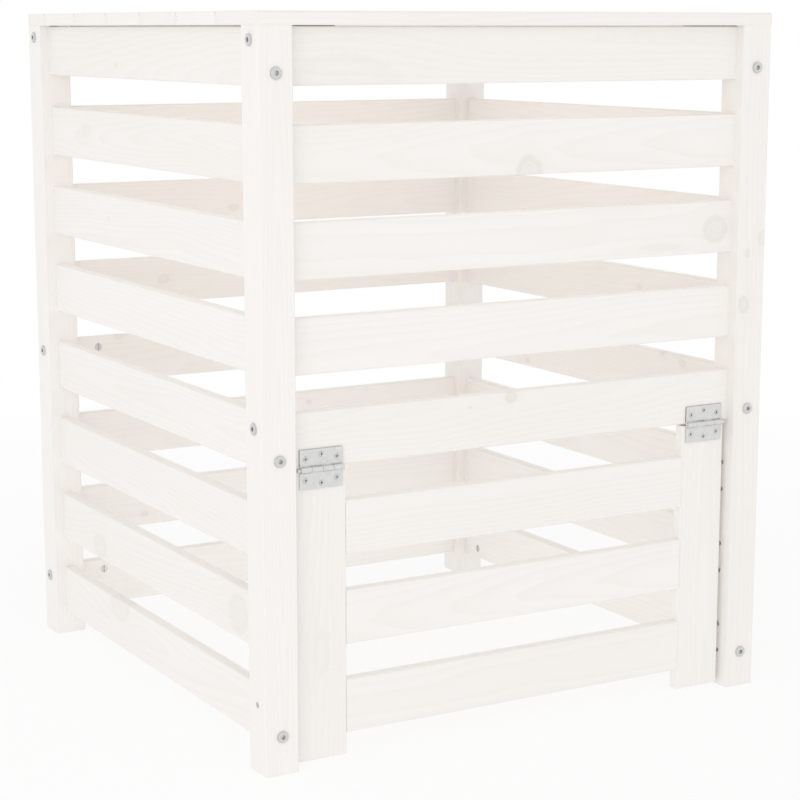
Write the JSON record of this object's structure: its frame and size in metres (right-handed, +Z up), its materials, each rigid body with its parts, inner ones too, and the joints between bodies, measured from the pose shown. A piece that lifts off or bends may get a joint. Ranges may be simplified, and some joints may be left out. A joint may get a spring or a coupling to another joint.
{
  "type": "slatted compost bin",
  "caption": "Square slatted wooden bin for garden compost, with bolted corner posts, a boarded lift-off lid and a hinged flap at the foot of its front wall.",
  "frame": {"origin": "on the ground under the middle of the bin", "axes": "+Z up, -Y out of the front wall with the flap, +X to the right as seen from the front"},
  "size_m": [0.639, 0.639, 0.7743],
  "materials": {
    "painted_timber": "satin white paint with the grain and knots faintly showing",
    "hinge_steel": "satin zinc plate",
    "fastener_steel": "bright zinc plate"
  },
  "bodies": {
    "frame": {"back_slat_1": "painted_timber", "back_slat_2": "painted_timber", "back_slat_3": "painted_timber", "back_slat_4": "painted_timber", "back_slat_5": "painted_timber", "back_slat_6": "painted_timber", "back_slat_7": "painted_timber", "back_slat_8": "painted_timber", "barrel_nuts": "fastener_steel", "connector_bolts": "fastener_steel", "frame_hinge_screws": "fastener_steel", "front_left_post": "painted_timber", "front_right_post": "painted_timber", "front_slat_1": "painted_timber", "front_slat_2": "painted_timber", "front_slat_3": "painted_timber", "front_slat_4": "painted_timber", "front_slat_5": "painted_timber", "left_hinge_frame_leaf": "hinge_steel", "left_hinge_pin": "hinge_steel", "left_slat_1": "painted_timber", "left_slat_2": "painted_timber", "left_slat_3": "painted_timber", "left_slat_4": "painted_timber", "left_slat_5": "painted_timber", "left_slat_6": "painted_timber", "left_slat_7": "painted_timber", "left_slat_8": "painted_timber", "rear_left_post": "painted_timber", "rear_right_post": "painted_timber", "right_hinge_frame_leaf": "hinge_steel", "right_hinge_pin": "hinge_steel", "right_slat_1": "painted_timber", "right_slat_2": "painted_timber", "right_slat_3": "painted_timber", "right_slat_4": "painted_timber", "right_slat_5": "painted_timber", "right_slat_6": "painted_timber", "right_slat_7": "painted_timber", "right_slat_8": "painted_timber"},
    "flap": {"flap_hinge_screws": "fastener_steel", "flap_left_stile": "painted_timber", "flap_right_stile": "painted_timber", "flap_slat_1": "painted_timber", "flap_slat_2": "painted_timber", "flap_slat_3": "painted_timber", "left_hinge_flap_leaf": "hinge_steel", "right_hinge_flap_leaf": "hinge_steel"},
    "lid": {"left_lid_batten": "painted_timber", "lid_board_1": "painted_timber", "lid_board_2": "painted_timber", "lid_board_3": "painted_timber", "lid_board_4": "painted_timber", "lid_board_5": "painted_timber", "lid_board_6": "painted_timber", "lid_board_7": "painted_timber", "right_lid_batten": "painted_timber"}
  },
  "joints": [
    {"name": "flap_hinge", "type": "hinge", "parent": "frame", "child": "flap", "pos_m": [0, -0.3082, 0.31535], "axis": [-1, 0, 0], "range_deg": [0, 175]},
    {"name": "lid_lift", "type": "slide", "parent": "frame", "child": "lid", "axis": [0, 0, 1], "range_m": [0, 0.25]}
  ]
}
